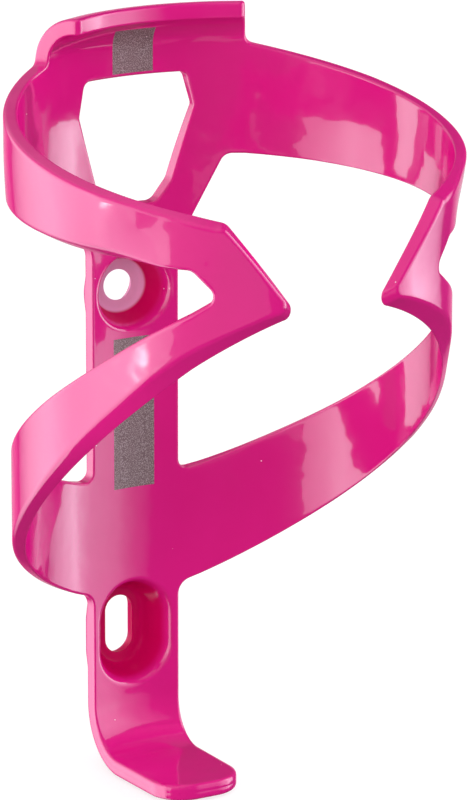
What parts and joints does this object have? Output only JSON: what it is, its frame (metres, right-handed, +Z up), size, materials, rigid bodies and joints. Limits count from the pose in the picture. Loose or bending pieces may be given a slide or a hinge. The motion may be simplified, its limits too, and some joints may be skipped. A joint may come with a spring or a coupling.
{
  "type": "water bottle cage",
  "caption": "Moulded nylon water bottle cage: a back plate with bolt dishes, a window, a crown lip and a foot, and spring arms that wrap round the bottle and meet in pointed noses.",
  "frame": {"origin": "midway between the two bolts, on the flat faces of the bosses that touch the bicycle frame", "axes": "+Z up the bottle, +Y back into the bicycle frame, -Y the open front of the cage, +X the right-hand side seen from the front"},
  "size_m": [0.081, 0.0794, 0.1407],
  "materials": {
    "moulded_nylon": "gloss"
  },
  "bodies": {
    "backbone": {"spine": "moulded_nylon", "upper_bolt_boss": "moulded_nylon", "lower_bolt_boss": "moulded_nylon", "bottle_foot": "moulded_nylon", "left_shoulder": "moulded_nylon", "right_shoulder": "moulded_nylon", "crown": "moulded_nylon"},
    "left_arm": {"left_upper_arm": "moulded_nylon", "left_nose": "moulded_nylon", "left_lower_arm": "moulded_nylon"},
    "right_arm": {"right_upper_arm": "moulded_nylon", "right_nose": "moulded_nylon", "right_lower_arm": "moulded_nylon"}
  },
  "joints": [
    {"name": "left_arm_flex", "type": "hinge", "parent": "backbone", "child": "left_arm", "pos_m": [-0.01493, -0.01074, 0.02648], "axis": [0.144, 0.0537, -0.9881], "range_deg": [-2, 5], "stiffness_Nm_per_rad": 15},
    {"name": "right_arm_flex", "type": "hinge", "parent": "backbone", "child": "right_arm", "pos_m": [0.01493, -0.01074, 0.02648], "axis": [0.144, -0.0537, 0.9881], "range_deg": [-2, 5], "stiffness_Nm_per_rad": 15}
  ]
}
